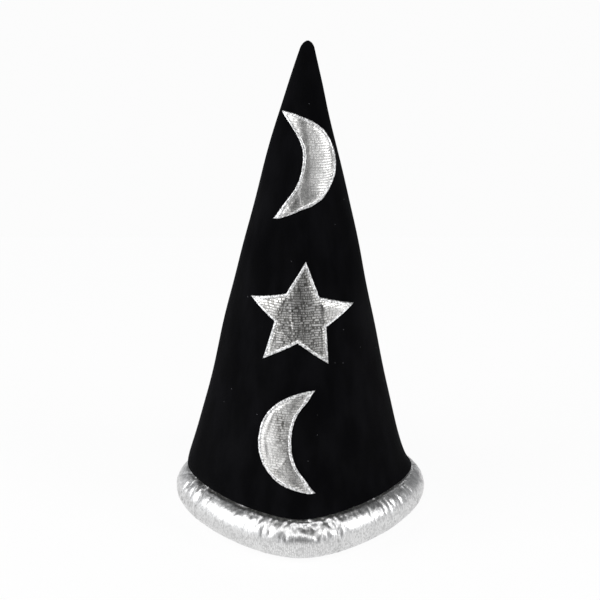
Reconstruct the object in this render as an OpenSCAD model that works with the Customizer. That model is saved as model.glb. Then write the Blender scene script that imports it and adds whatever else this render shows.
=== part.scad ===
// Costume witch hat: a tall velour cone with stitched silver patches, standing on a
// stuffed silver roll brim. Millimetres. Origin: middle of the footprint on the resting
// plane. +Z runs up to the tip and the front faces -Y.

/* [Cone] */
// Height of the whole hat, resting plane to tip
hat_h = 452; // [440:1:480]
// Width of the cone at its bottom edge
edge_w = 211; // [200:1:216]
// Depth of the cone at its bottom edge
edge_d = 194; // [188:1:206]
// How sharply the bottom edge is creased at the front and back, 0 to 1
edge_crease = 0.5; // [0:0.05:0.7]
// How sharply the bottom edge is creased at the two sides, 0 to 1
edge_side = 0.5; // [0:0.05:0.6]
// How far the cone's sides swell beyond a straight line, as a share
bulge = 0.24; // [0:0.02:0.4]
// Extra half width where the bottom edge flares out over the roll
flare = 9.5; // [0:0.5:12]
// Radius of the blunt tip
tip_r = 4.5; // [3.5:0.5:6]
// Depth over width close to the tip, where the cone lies nearly flat
tip_flat = 0.6; // [0.6:0.05:1]
// Sideways lean of the cone over its height
lean = 3.8; // [0:0.2:6]
// Backward lean of the cone over its height
lean_back = 8.6; // [0:0.2:12]
// Extra sideways bend of the tip
tip_bend = 2.5; // [0:0.5:6]

/* [Brim roll] */
// Width between the roll's centre lines
roll_w = 193; // [188:1:200]
// Depth between the roll's centre lines
roll_d = 180; // [174:1:190]
// How sharply the roll is creased at the front and back, 0 to 1
roll_crease = 0.4; // [0:0.05:0.7]
// How sharply the roll is creased at the two sides, 0 to 1
roll_side = 0.5; // [0:0.05:0.6]
// Radius of the roll
roll_r = 20.4; // [18:0.2:21]
// How far the roll is pressed flat where it rests
roll_sink = 1; // [0.6:0.2:2]

/* [Cloth layers] */
// Thickness of the velour
velour_t = 1.2; // [0.8:0.1:1.4]
// Thickness of the foam interlining
foam_t = 2; // [1.5:0.1:2.2]
// Thickness of the lining
lining_t = 0.5; // [0.4:0.1:0.6]
// Thickness of the silver cloth
lame_t = 0.8; // [0.6:0.1:0.9]
// Thickness of the folded sweatband
band_t = 1.8; // [1.2:0.1:2]
// Free space between one cloth layer and the next
layer_gap = 0.15; // [0.1:0.05:0.2]

/* [Silver patches] */
// Height of a moon, tip to tip
moon_h = 90.5; // [80:0.5:96]
// How far a moon's outer edge bows out from the line between its tips
moon_bow = 52; // [48:0.5:54]
// How far a moon's inner edge bows out from the same line
moon_hollow = 21.5; // [18:0.5:24]
// Radius of the star's points
star_r = 50.5; // [44:0.5:52]
// Radius of the star's notches, as a share of its points' radius
star_notch = 0.475; // [0.4:0.005:0.5]
// Turn of the star, clockwise
star_turn = 4; // [0:1:8]
// Width of the stitched border
border_w = 2.6; // [2:0.1:3]
// Height of the stitched border
border_t = 1.1; // [0.8:0.1:1.3]
// Thickness of a patch inside its border
patch_t = 0.6; // [0.4:0.1:0.8]

/* [Sewing] */
// Thickness of the sewing thread
thread_t = 0.6; // [0.5:0.1:0.7]
// Length of one stitch
stitch_l = 4; // [3:0.5:5]
// Stitches round the brim seam
brim_stitches = 96; // [80:4:120]

/* [Inside] */
// Height of the seam allowance turned up inside the cone
allowance_h = 9; // [6:1:10]
// Height of the sweatband
band_h = 25; // [22:1:30]
// Height of the blank care label
label_h = 40; // [30:1:45]
// Width of the blank care label, in degrees round the cone
label_span = 18; // [14:1:22]

/* [Hidden] */

velour_color = [0.035, 0.035, 0.045];
foam_color = [0.80, 0.79, 0.74];
lining_color = [0.07, 0.07, 0.08];
silver_color = [0.76, 0.77, 0.80];
bright_thread_color = [0.86, 0.87, 0.90];
black_thread_color = [0.05, 0.05, 0.06];
wadding_color = [0.93, 0.93, 0.91];
label_color = [0.92, 0.92, 0.90];

// Facets round the cone, rows up each wall, facets round the roll and round its section
cone_sides = 48;
outer_rows = 24;
inner_rows = 15;
roll_steps = 54;
section_steps = 18;

// Degrees over which a crease is rounded
crease_round = 10.3;
// Height over which the tip rounds off
cap_h = 7;
// How far each layer's tip stays below the one outside it, per mm of depth
tip_drop = 3;

roll_z = roll_r - roll_sink;
edge_clear = 0.4;
edge_z = roll_z + roll_r + edge_clear;
cone_h = hat_h - edge_z;

// Depth of each layer's outer face below the hat's outer surface
foam_in = velour_t + layer_gap;
lining_in = foam_in + foam_t + layer_gap;
allowance_in = lining_in + lining_t + layer_gap;
slit_t = 0.2;
fold_t = 0.5;
allowance_out = allowance_in + 2 * fold_t + slit_t;
seam_thread_in = allowance_out + thread_t / 2 + 0.05;
band_in = allowance_out + thread_t + 0.2;
label_in = allowance_in;
label_t = 0.4;

// Height from which the sweatband and the label run up
band_z = edge_z + 1.3;
label_z = edge_z + 14;
// Angle of the label's middle, beside the back seam
label_turn = 160;

// Places of the patches: distance round the cloth from the front, and height
upper_moon_at = [-23.1, 346.9];
upper_moon_tilt = -2.4;
star_at = [0.7, 213];
lower_moon_at = [15.8, 107];
lower_moon_tilt = 1.5;
// Hand-cut unevenness of the star: turn in degrees and length in mm of each point,
// then of each notch, counted anticlockwise from the top point
star_points = [[0, 2.9], [3, 0.1], [-4, -1.6], [2, -4.4], [-4, 1.7]];
star_notches = [[-5, 4.4], [-14, -1.1], [-3, -5.9], [9, -0.3], [3, 2.9]];
// Hand-cut unevenness of a moon's outer edge, then of its inner edge: each wave's place
// along the edge from the top tip, 0 to 1, its reach along the edge, and its height in mm
upper_moon_cut = [[[0.48, 0.1, 2.1], [0.83, 0.13, -6]], [[0.34, 0.17, 2.5], [0.82, 0.15, -2.9]]];
lower_moon_cut = [[[0.22, 0.15, -1.9], [0.6, 0.09, 1.5], [0.87, 0.1, -2.8]],
                  [[0.11, 0.08, -1.6], [0.84, 0.1, -1.8]]];
moon_steps = 22;
edge_steps = 4;
patch_lift = 0.25;

// ---- Shape of the hat ----

// Distance of a point from a crease, 0 to 1, where q is its angle from the crease
function rounded(q) = sqrt(q * q + crease_round * crease_round) - crease_round;
function fold(q) = rounded(q) / rounded(90);
function fold_rate(q) = q / sqrt(q * q + crease_round * crease_round) / rounded(90);

// Point of an oval at angle t from the front, positive towards +X. The oval is creased at
// the front and back by crease, and at the two sides by side.
function oval(t, half_w, half_d, crease, side) =
    let (turn = (t + 540) % 360 - 180,
         front = abs(turn) <= 90,
         q = front ? abs(turn) : 180 - abs(turn),
         along_x = (1 - side) * sin(q) + side * (1 - fold(90 - q)),
         along_y = (1 - crease) * cos(q) + crease * (1 - fold(q)))
    [sign(turn) * half_w * along_x, (front ? -1 : 1) * half_d * along_y];

// Share of the cone's height from the tip, 0 to 1, at height z
function drop(z) = (hat_h - z) / cone_h;

function tip_cap(down) =
    tip_r * sqrt(1 - pow(1 - min((down + 0.3) / cap_h, 1), 2));

function half_width(z) =
    let (u = drop(z))
    tip_cap(hat_h - z)
    + (edge_w / 2 - tip_r - flare) * (u + bulge * u * (1 - u))
    + flare * pow(u, 9);

function half_depth(z) =
    half_width(z) * (tip_flat + (edge_d / edge_w - tip_flat) * pow(drop(z), 0.6));

function crease_at(z) = edge_crease * pow(drop(z), 2);
function side_at(z) = edge_side * pow(drop(z), 2);

function sway(z) =
    let (u = drop(z))
    lean * (1 - 2 * u + pow(u, 60)) + tip_bend * pow(1 - u, 8);

function sway_back(z) = lean_back * (1 - drop(z));

// Point of the cone at angle t and height z, depth mm below the outer surface
function on_cone(t, z, depth) =
    let (p = oval(t, half_width(z) - depth, half_depth(z) - depth, crease_at(z), side_at(z)))
    [p.x + sway(z), p.y + sway_back(z), z];

// Millimetres round the cloth per degree, at angle t and height z
function cloth_rate(t, z) =
    let (q = abs(t),
         crease = crease_at(z),
         side = side_at(z),
         along_x = (1 - side) * cos(q) * PI / 180 + side * fold_rate(90 - q),
         along_y = (1 - crease) * sin(q) * PI / 180 + crease * fold_rate(q))
    norm([half_width(z) * along_x, half_depth(z) * along_y]);

// Angle of the point that lies s mm round the cloth from the front
function angle_at(s, z, step = 0, t = 0) =
    step == 8 ? t :
    let (move = s / 8,
         middle = t + move / 2 / cloth_rate(t, z))
    angle_at(s, z, step + 1, t + move / cloth_rate(middle, z));

// Point over the cloth: p holds the distance round the cloth and the height
function on_cloth(p, height) = on_cone(angle_at(p.x, p.y), p.y, -height);

// Rows crowd together at both ends of a wall
function row_z(i, rows, top) = edge_z + (top - edge_z) * (1 - cos(180 * i / rows)) / 2;

function cone_loop(z, depth) =
    [for (k = [0 : cone_sides - 1]) on_cone(360 * k / cone_sides - 180, z, depth)];

// ---- Shape of the roll ----

function roll_middle(t) = oval(t, roll_w / 2, roll_d / 2, roll_crease, roll_side);

function roll_outward(t) =
    let (d = roll_middle(t + 0.5) - roll_middle(t - 0.5))
    [-d.y, d.x] / -norm(d);

// Point of the roll's section: angle a from straight up, positive outward
function on_roll(t, a, r, floor_z) =
    let (p = roll_middle(t) + r * sin(a) * roll_outward(t))
    [p.x, p.y, max(roll_z + r * cos(a), floor_z)];

// Angle a at which the roll meets the cloth that lies depth mm inside the cone's edge
function roll_angle(t, depth, r) =
    let (p = on_cone(t, edge_z, depth),
         out = ([p.x, p.y] - roll_middle(t)) * roll_outward(t))
    asin(out / r);

// ---- Closed surfaces ----

// Two triangles of a grid cell
function cell(a, b, c, d) = [[a, b, c], [a, c, d]];

// Closed surface through equal loops, with a pole at each end
module between_poles(first, loops, last) {
    n = len(loops[0]);
    m = len(loops);
    end = n * m + 1;
    points = concat([first], [for (l = loops) each l], [last]);
    start_fan = [for (k = [0 : n - 1]) [0, 1 + k, 1 + (k + 1) % n]];
    end_fan = [for (k = [0 : n - 1])
        [end, end - n + (k + 1) % n, end - n + k]];
    side = [for (j = [0 : m - 2], k = [0 : n - 1])
        each cell(1 + j * n + k, 1 + (j + 1) * n + k,
                  1 + (j + 1) * n + (k + 1) % n, 1 + j * n + (k + 1) % n)];
    polyhedron(points, concat(start_fan, side, end_fan));
}

// Closed ring through equal sections
module ring_of(sections) {
    n = len(sections[0]);
    m = len(sections);
    points = [for (s = sections) each s];
    polyhedron(points, [for (j = [0 : m - 1], k = [0 : n - 1])
        each cell(j * n + k, ((j + 1) % m) * n + k,
                  ((j + 1) % m) * n + (k + 1) % n, j * n + (k + 1) % n)]);
}

// Slab between two equal grids of points, low and high
module slab(low, high) {
    r = len(low);
    c = len(low[0]);
    shift = r * c;
    points = concat([for (row = low) each row], [for (row = high) each row]);
    faces_low = [for (i = [0 : r - 2], j = [0 : c - 2])
        each cell(i * c + j, i * c + j + 1, (i + 1) * c + j + 1, (i + 1) * c + j)];
    faces_high = [for (f = faces_low) [shift + f[2], shift + f[1], shift + f[0]]];
    rim = concat([for (j = [0 : c - 1]) j],
                 [for (i = [1 : r - 1]) i * c + c - 1],
                 [for (j = [c - 2 : -1 : 0]) (r - 1) * c + j],
                 [for (i = [r - 2 : -1 : 1]) i * c]);
    e = len(rim);
    walls = [for (k = [0 : e - 1])
        each cell(rim[(k + 1) % e], rim[k], shift + rim[k], shift + rim[(k + 1) % e])];
    polyhedron(points, concat(faces_low, faces_high, walls));
}

// Wall of the cone between two depths, closed at the tip and open at the bottom
module cone_wall(outer_depth, inner_depth, rows) {
    outer_top = hat_h - tip_drop * outer_depth;
    inner_top = hat_h - tip_drop * inner_depth;
    loops = concat(
        [for (i = [inner_rows : -1 : 0])
            cone_loop(row_z(i, inner_rows, inner_top), inner_depth)],
        [for (i = [0 : rows]) cone_loop(row_z(i, rows, outer_top), outer_depth)]);
    between_poles([sway(inner_top), sway_back(inner_top), inner_top], loops,
                  [sway(outer_top), sway_back(outer_top), outer_top]);
}

// One straight stitch between two points
module stitch(a, b) {
    v = b - a;
    translate(a)
        rotate([0, acos(v.z / norm(v)), atan2(v.y, v.x)])
            cylinder(d = thread_t, h = norm(v), $fn = 6);
}

// Row of stitches up the back of the cone, at depth mm below the outer surface
module back_row(depth, top) {
    pitch = stitch_l * 2;
    for (z = [edge_z + 14 : pitch : top])
        stitch(on_cone(180, z, depth), on_cone(180, z + stitch_l, depth));
}

// Row of stitches round the inside at height z
module round_row(z, depth, count) {
    for (k = [0 : count - 1]) {
        t = 360 * k / count;
        stitch(on_cone(t, z, depth), on_cone(t + 180 / count, z, depth));
    }
}

// ---- Outlines of the patches, in flat cloth ----

function turned(p, a) = [p.x * cos(a) - p.y * sin(a), p.x * sin(a) + p.y * cos(a)];

function bow_r(bow) = (moon_h * moon_h / 4 + bow * bow) / (2 * bow);

// How far an edge cut by hand strays outwards, s of the way along it
function stray(s, cut) =
    min(1, min(s, 1 - s) / 0.06)
    * [for (w = cut) w[2] * exp(-pow((s - w[0]) / w[1], 2))] * [for (w = cut) 1];

// The two edges of a moon that opens towards +X, each from its top tip to its bottom tip
function moon_edges(inset, cut) =
    let (outer_r = bow_r(moon_bow) - inset,
         inner_r = bow_r(moon_hollow) + inset,
         outer_x = bow_r(moon_bow) - moon_bow,
         inner_x = bow_r(moon_hollow) - moon_hollow,
         apart = inner_x - outer_x,
         tip_x = (apart * apart + outer_r * outer_r - inner_r * inner_r) / (2 * apart),
         tip_y = sqrt(outer_r * outer_r - tip_x * tip_x),
         outer_a = atan2(tip_y, tip_x),
         inner_a = atan2(tip_y, tip_x - apart))
    [[for (i = [0 : moon_steps])
        let (a = outer_a + (360 - 2 * outer_a) * i / moon_steps,
             r = outer_r + stray(i / moon_steps, cut[0]))
        [outer_x + r * cos(a), r * sin(a)]],
     [for (i = [0 : moon_steps])
        let (a = inner_a + (360 - 2 * inner_a) * i / moon_steps,
             r = inner_r + stray(i / moon_steps, cut[1]))
        [inner_x + r * cos(a), r * sin(a)]]];

function reversed(l) = [for (i = [len(l) - 1 : -1 : 0]) l[i]];

// Outline of a moon, anticlockwise
function moon_loop(inset, cut) =
    let (e = moon_edges(inset, cut))
    concat([for (i = [0 : moon_steps - 1]) e[0][i]],
           [for (i = [moon_steps : -1 : 1]) e[1][i]]);

function placed(l, at, tilt, open_side) =
    let (p = [for (v = l) turned([v.x * open_side, v.y], tilt) + at])
    open_side > 0 ? p : reversed(p);

function star_corner(i) =
    let (k = floor(i / 2),
         wave = i % 2 == 0 ? star_points[k] : star_notches[k],
         r = (i % 2 == 0 ? star_r : star_r * star_notch) + wave[1],
         a = 90 - star_turn + 36 * i + wave[0])
    [r * cos(a), r * sin(a)];

// Corner i of the star moved inwards, so that each side moves in by inset
function inset_corner(i, inset) =
    let (p = star_corner(i),
         to = star_corner((i + 1) % 10) - p,
         from = p - star_corner((i + 9) % 10),
         n1 = [-to.y, to.x] / norm(to),
         n2 = [-from.y, from.x] / norm(from))
    p + inset * (n1 + n2) / (1 + n1 * n2);

// Outline of the star, anticlockwise
function star_loop(inset) =
    [for (i = [0 : 9], j = [0 : edge_steps - 1])
        let (a = inset_corner(i, inset), b = inset_corner((i + 1) % 10, inset))
        a + (b - a) * j / edge_steps + star_at];

// ---- Patches and borders ----

// Raised band of satin stitches between an outline and the same outline set in
module border(outer, inner) {
    crown = 0.25;
    ring_of([for (i = [0 : len(outer) - 1])
        let (o = outer[i], n = inner[i])
        [on_cloth(o, patch_lift),
         on_cloth(n, patch_lift),
         on_cloth(n + (o - n) * crown, border_t + patch_lift),
         on_cloth(o + (n - o) * crown, border_t + patch_lift)]]);
}

module moon(at, tilt, open_side, cut) {
    across = 5;
    e = moon_edges(border_w + 0.15, cut);
    outer = [for (v = e[0]) turned([v.x * open_side, v.y], tilt) + at];
    inner = [for (v = e[1]) turned([v.x * open_side, v.y], tilt) + at];
    grid = [for (i = [1 : moon_steps - 1])
        [for (j = [0 : across])
            let (k = open_side > 0 ? across - j : j)
            outer[i] + (inner[i] - outer[i]) * k / across]];
    slab([for (row = grid) [for (p = row) on_cloth(p, patch_lift)]],
         [for (row = grid) [for (p = row) on_cloth(p, patch_lift + patch_t)]]);
}

module moon_border(at, tilt, open_side, cut) {
    border(placed(moon_loop(0, cut), at, tilt, open_side),
           placed(moon_loop(border_w, cut), at, tilt, open_side));
}

// ---- Sub-parts ----

module outer_cone() {
    color(velour_color) cone_wall(0, velour_t, outer_rows);
}

module foam_interlining() {
    color(foam_color) cone_wall(foam_in, foam_in + foam_t, inner_rows);
}

module lining_cone() {
    color(lining_color) cone_wall(lining_in, lining_in + lining_t, inner_rows);
}

module back_seam_stitching() {
    lift = thread_t / 2 + 0.1;
    color(black_thread_color) back_row(-lift, hat_h - 16);
}

module lining_seam_stitching() {
    color(black_thread_color)
        back_row(lining_in + lining_t + thread_t, hat_h - 60);
}

module upper_moon() {
    color(silver_color) moon(upper_moon_at, upper_moon_tilt, -1, upper_moon_cut);
}

module upper_moon_border() {
    color(bright_thread_color) moon_border(upper_moon_at, upper_moon_tilt, -1,
                                           upper_moon_cut);
}

module lower_moon() {
    color(silver_color) moon(lower_moon_at, lower_moon_tilt, 1, lower_moon_cut);
}

module lower_moon_border() {
    color(bright_thread_color) moon_border(lower_moon_at, lower_moon_tilt, 1,
                                           lower_moon_cut);
}

module star() {
    rim = star_loop(border_w + 0.15);
    shares = [0.25, 0.5, 0.75, 1];
    function shrunk(s) = [for (p = rim) star_at + (p - star_at) * s];
    low = [for (s = shares) [for (p = shrunk(s)) on_cloth(p, patch_lift)]];
    high = [for (s = shares) [for (p = shrunk(s)) on_cloth(p, patch_lift + patch_t)]];
    color(silver_color)
        between_poles(on_cloth(star_at, patch_lift), concat(low, reversed(high)),
                      on_cloth(star_at, patch_lift + patch_t));
}

module star_border() {
    color(bright_thread_color) border(star_loop(0), star_loop(border_w));
}

// Tube of silver cloth. Its two long edges meet on top and turn up inside the cone.
module brim_cover() {
    color(silver_color) ring_of([for (k = [0 : roll_steps - 1])
        let (t = 360 * k / roll_steps,
             top_z = edge_z + allowance_h,
             foot_z = edge_z - 0.2,
             mid_in = allowance_in + fold_t,
             mid_out = mid_in + slit_t,
             start = roll_angle(t, allowance_in - 1, roll_r),
             end = roll_angle(t, allowance_out + 1, roll_r) + 360,
             inner_start = roll_angle(t, mid_in - 0.6, roll_r),
             inner_end = roll_angle(t, mid_out + 0.6, roll_r) + 360)
        concat(
            [on_cone(t, top_z, allowance_in), on_cone(t, foot_z, allowance_in)],
            [for (i = [0 : section_steps])
                on_roll(t, start + (end - start) * i / section_steps, roll_r, 0)],
            [on_cone(t, foot_z, allowance_out), on_cone(t, top_z, allowance_out),
             on_cone(t, top_z, mid_out), on_cone(t, foot_z, mid_out)],
            [for (i = [section_steps : -1 : 0])
                on_roll(t, inner_start + (inner_end - inner_start) * i / section_steps,
                        roll_r - lame_t, lame_t)],
            [on_cone(t, foot_z, mid_in), on_cone(t, top_z, mid_in)])]);
}

module brim_wadding() {
    fill_r = roll_r - lame_t - 0.5;
    fill_z = lame_t + 0.3;
    color(wadding_color) ring_of([for (k = [0 : roll_steps - 1])
        let (t = 360 * k / roll_steps)
        [for (i = [0 : section_steps - 1])
            on_roll(t, 360 * i / section_steps, fill_r, fill_z)]]);
}

module brim_seam_stitching() {
    color(black_thread_color) round_row(edge_z + 4, seam_thread_in, brim_stitches);
}

// Stitches that close the silver tube into a ring at the back
module brim_join_stitching() {
    r = roll_r + thread_t / 2;
    turns = 18;
    color(bright_thread_color)
        for (k = [0 : turns - 1]) {
            a = 30 + 340 * k / turns;
            p = on_roll(180, a, r, 0);
            if (p.z > 2.5)
                stitch(on_roll(178, a, r, 0), on_roll(182, a, r, 0));
        }
}

module sweatband() {
    rows = 5;
    inner = band_in + band_t;
    color(lining_color) ring_of([for (k = [0 : cone_sides - 1])
        let (t = 360 * k / cone_sides)
        concat([for (i = [rows : -1 : 0]) on_cone(t, band_z + band_h * i / rows, band_in)],
               [for (i = [0 : rows]) on_cone(t, band_z + band_h * i / rows, inner)])]);
}

module sweatband_stitching() {
    color(black_thread_color)
        round_row(band_z + 3, band_in + band_t + thread_t / 2 + 0.1, brim_stitches);
}

module care_label() {
    rows = 6;
    cols = 5;
    color(label_color)
        slab([for (i = [0 : rows]) [for (j = [0 : cols])
                on_cone(label_turn + label_span * (j / cols - 0.5),
                        label_z + label_h * i / rows, label_in + label_t)]],
             [for (i = [0 : rows]) [for (j = [0 : cols])
                on_cone(label_turn + label_span * (j / cols - 0.5),
                        label_z + label_h * i / rows, label_in)]]);
}

// Short row of stitches that holds the label's bottom edge under the sweatband
module care_label_stitching() {
    count = 5;
    depth = label_in + label_t + thread_t / 2 + 0.05;
    color(black_thread_color)
        for (j = [0 : count - 1]) {
            t = label_turn + label_span * ((j + 0.2) / count - 0.5);
            stitch(on_cone(t, label_z + 4, depth),
                   on_cone(t + label_span * 0.6 / count, label_z + 4, depth));
        }
}

outer_cone();
foam_interlining();
lining_cone();
back_seam_stitching();
lining_seam_stitching();
upper_moon();
upper_moon_border();
star();
star_border();
lower_moon();
lower_moon_border();
brim_cover();
brim_wadding();
brim_seam_stitching();
brim_join_stitching();
sweatband();
sweatband_stitching();
care_label();
care_label_stitching();
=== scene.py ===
"""Looks of a costume witch hat: velour cone, stitched silver patches, stuffed silver roll.

Lengths of pieces are millimetres until add_piece() turns them into metres. Materials, the stage
and the camera are in metres, but cloth that is laid out flat has its UVs in millimetres. Angles
round the hat are degrees from the front (-Y), positive towards +X.
"""

import math

import bpy
import numpy as np
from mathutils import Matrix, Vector


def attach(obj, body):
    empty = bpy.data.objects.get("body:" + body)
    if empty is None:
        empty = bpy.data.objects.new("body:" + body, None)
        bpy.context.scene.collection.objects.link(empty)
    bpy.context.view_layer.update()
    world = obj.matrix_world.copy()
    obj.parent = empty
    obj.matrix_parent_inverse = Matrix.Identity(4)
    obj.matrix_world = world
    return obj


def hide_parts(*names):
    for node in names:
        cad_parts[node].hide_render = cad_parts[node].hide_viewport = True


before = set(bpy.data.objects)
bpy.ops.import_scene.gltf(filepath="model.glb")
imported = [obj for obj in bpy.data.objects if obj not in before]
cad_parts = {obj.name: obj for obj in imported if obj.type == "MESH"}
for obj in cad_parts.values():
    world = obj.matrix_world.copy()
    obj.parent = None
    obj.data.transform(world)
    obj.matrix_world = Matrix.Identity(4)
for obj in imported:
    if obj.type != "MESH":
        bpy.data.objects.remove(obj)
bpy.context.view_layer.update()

MM = 0.001

# ---- Sizes, as in the CAD source ----
HAT_H = 452.0
EDGE_W, EDGE_D, EDGE_CREASE, EDGE_SIDE = 211.0, 194.0, 0.5, 0.5
BULGE, FLARE = 0.24, 9.5
TIP_R, TIP_FLAT, CAP_H, TIP_DROP = 4.5, 0.6, 7.0, 3.0
LEAN, LEAN_BACK, TIP_BEND = 3.8, 8.6, 2.5
CREASE_ROUND = 10.3
ROLL_W, ROLL_D, ROLL_CREASE, ROLL_SIDE = 193.0, 180.0, 0.4, 0.5
ROLL_R, ROLL_SINK = 20.4, 1.0
ROLL_Z = ROLL_R - ROLL_SINK
EDGE_Z = ROLL_Z + ROLL_R + 0.4
CONE_H = HAT_H - EDGE_Z

VELOUR_T, FOAM_T, LINING_T, BAND_T, LAYER_GAP = 1.2, 2.0, 0.5, 1.8, 0.15
FOAM_IN = VELOUR_T + LAYER_GAP
LINING_IN = FOAM_IN + FOAM_T + LAYER_GAP
ALLOWANCE_IN = LINING_IN + LINING_T + LAYER_GAP
ALLOWANCE_T, ALLOWANCE_H = 0.5, 9.0
ALLOWANCE_OUT = ALLOWANCE_IN + 2 * ALLOWANCE_T + 0.2
THREAD_T, STITCH_L, BRIM_STITCHES = 0.6, 4.0, 96
SEAM_THREAD_IN = ALLOWANCE_OUT + THREAD_T / 2 + 0.05
BAND_IN, BAND_H, BAND_Z = ALLOWANCE_OUT + THREAD_T + 0.2, 25.0, EDGE_Z + 1.3
LABEL_IN, LABEL_T, LABEL_Z, LABEL_H = ALLOWANCE_IN, 0.4, EDGE_Z + 14, 40.0
LABEL_TURN, LABEL_SPAN = 160.0, 18.0

MOON_H, MOON_BOW, MOON_HOLLOW = 90.5, 52.0, 21.5
STAR_R, STAR_NOTCH, STAR_TURN = 50.5, 0.475, 4.0
BORDER_W, BORDER_T, PATCH_LIFT = 2.6, 1.1, 0.25
UPPER_MOON_AT, UPPER_MOON_TILT = (-23.1, 346.9), -2.4
STAR_AT = (0.7, 213.0)
LOWER_MOON_AT, LOWER_MOON_TILT = (15.8, 107.0), 1.5
# Turn in degrees and length in mm by which each corner of the star strays, from the top point
STAR_POINTS = [(0, 2.9), (3, 0.1), (-4, -1.6), (2, -4.4), (-4, 1.7)]
STAR_NOTCHES = [(-5, 4.4), (-14, -1.1), (-3, -5.9), (9, -0.3), (3, 2.9)]
# Waves of a moon's outer edge, then of its inner edge: place along it, reach, height in mm
UPPER_MOON_CUT = [[(0.48, 0.1, 2.1), (0.83, 0.13, -6)], [(0.34, 0.17, 2.5), (0.82, 0.15, -2.9)]]
LOWER_MOON_CUT = [[(0.22, 0.15, -1.9), (0.6, 0.09, 1.5), (0.87, 0.1, -2.8)],
                  [(0.11, 0.08, -1.6), (0.84, 0.1, -1.8)]]

# ---- Wear, on top of the CAD shape ----
# Waves of the worn velour: height in mm, waves round the hat, turn for each mm up, start
WORN_WAVES = [(0.30, 3, 1.9, 0), (0.30, 5, -2.7, 70), (0.22, 2, 4.3, 200), (0.16, 9, 3.1, 20)]
SEAM_GROOVE, SEAM_SHOULDER, SEAM_TUG = 0.9, 0.35, 0.25
# The roll's cloth: how much longer than its plain shape it is cut, down its section from the
# outer seam, then its cloth simulation, and what is kept of it
GATHER_PLACES = (0.0, 0.10, 0.22, 0.40, 0.60, 0.80, 0.92, 1.0)
GATHER_EXTRA = (0.12, 0.11, 0.06, 0.015, 0.01, 0.03, 0.07, 0.08)
SEWING_FRAMES, PULL_FRAMES, STUFFING, CLOTH_MASS = 22, 8, 40.0, 0.001
WRINKLE, WRINKLE_REACH, WRINKLE_MAX = 0.85, 13, 3.0
FINE_PUCKER, PUCKER_REACH = 0.8, 9.0
BEAD_H, BEAD_BELOW, BEAD_REACH = 1.0, 1.4, 0.9
DENT_DEPTH, ROLL_IN = 2.9, 0.2


# ---- Noise and small tools ----

def sind(a):
    return np.sin(np.radians(a))


def cosd(a):
    return np.cos(np.radians(a))


def from_front(t):
    """The angle again, from -180 to 180."""
    return (t + 180) % 360 - 180


def smooth(x):
    x = np.clip(x, 0, 1)
    return x * x * (3 - 2 * x)


def ring_noise(t, cells, seed):
    """Smooth noise from -1 to 1 round the hat, with so many cells."""
    values = np.random.default_rng(seed).uniform(-1, 1, cells)
    x = (np.asarray(t, float) % 360) / 360 * cells
    i = np.floor(x).astype(int)
    f = smooth(x - i)
    return values[i % cells] * (1 - f) + values[(i + 1) % cells] * f


def flat_noise(x, y, cell, seed):
    """Smooth noise from -1 to 1 on a plane, with cells of that size."""
    size = 64
    values = np.random.default_rng(seed).uniform(-1, 1, (size, size))
    x, y = np.asarray(x, float) / cell, np.asarray(y, float) / cell
    i, j = np.floor(x).astype(int), np.floor(y).astype(int)
    f, g = smooth(x - i), smooth(y - j)
    a, b = i % size, j % size
    c, d = (i + 1) % size, (j + 1) % size
    low = values[a, b] * (1 - f) + values[c, b] * f
    high = values[a, d] * (1 - f) + values[c, d] * f
    return low * (1 - g) + high * g


# ---- Shape of the cone, as in the CAD source ----

def rounded(q):
    return np.sqrt(q * q + CREASE_ROUND**2) - CREASE_ROUND


def fold(q):
    return rounded(q) / rounded(90.0)


def fold_rate(q):
    return q / np.sqrt(q * q + CREASE_ROUND**2) / rounded(90.0)


def oval(t, half_w, half_d, crease, side):
    turn = from_front(t)
    front = np.abs(turn) <= 90
    q = np.where(front, np.abs(turn), 180 - np.abs(turn))
    along_x = (1 - side) * sind(q) + side * (1 - fold(90 - q))
    along_y = (1 - crease) * cosd(q) + crease * (1 - fold(q))
    return np.sign(turn) * half_w * along_x, np.where(front, -1.0, 1.0) * half_d * along_y


def drop(z):
    return (HAT_H - z) / CONE_H


def half_width(z):
    u = np.maximum(drop(z), 0)
    cap = TIP_R * np.sqrt(1 - (1 - np.clip((HAT_H - z + 0.3) / CAP_H, 0, 1)) ** 2)
    return cap + (EDGE_W / 2 - TIP_R - FLARE) * (u + BULGE * u * (1 - u)) + FLARE * u**9


def half_depth(z):
    u = np.maximum(drop(z), 0)
    return half_width(z) * (TIP_FLAT + (EDGE_D / EDGE_W - TIP_FLAT) * u**0.6)


def creases_at(z):
    """The crease at the front and back, and the crease at the sides."""
    return EDGE_CREASE * drop(z) ** 2, EDGE_SIDE * drop(z) ** 2


def sway(z):
    u = np.maximum(drop(z), 0)
    return LEAN * (1 - 2 * u + u**60) + TIP_BEND * (1 - u) ** 8


def sway_back(z):
    return LEAN_BACK * (1 - drop(z))


def dents(t, z):
    """How far the worn cloth stands out from its plain shape, in mm."""
    fade = smooth((z - 60) / 50) * smooth((HAT_H - 12 - z) / 70)
    waves = sum(height * sind(number * t + turn * z + start)
                for height, number, turn, start in WORN_WAVES)
    from_seam = np.abs((t + 360) % 360 - 180) * half_width(z) * math.pi / 180
    groove = -SEAM_GROOVE * np.exp(-(from_seam / 1.2) ** 2)
    shoulder = SEAM_SHOULDER * np.exp(-((from_seam - 3.2) / 2) ** 2)
    tug = SEAM_TUG * np.exp(-(from_seam / 5) ** 2) * sind(z * 180 / STITCH_L)
    return waves * fade + (groove + shoulder + tug) * smooth((HAT_H - 20 - z) / 30)


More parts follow.
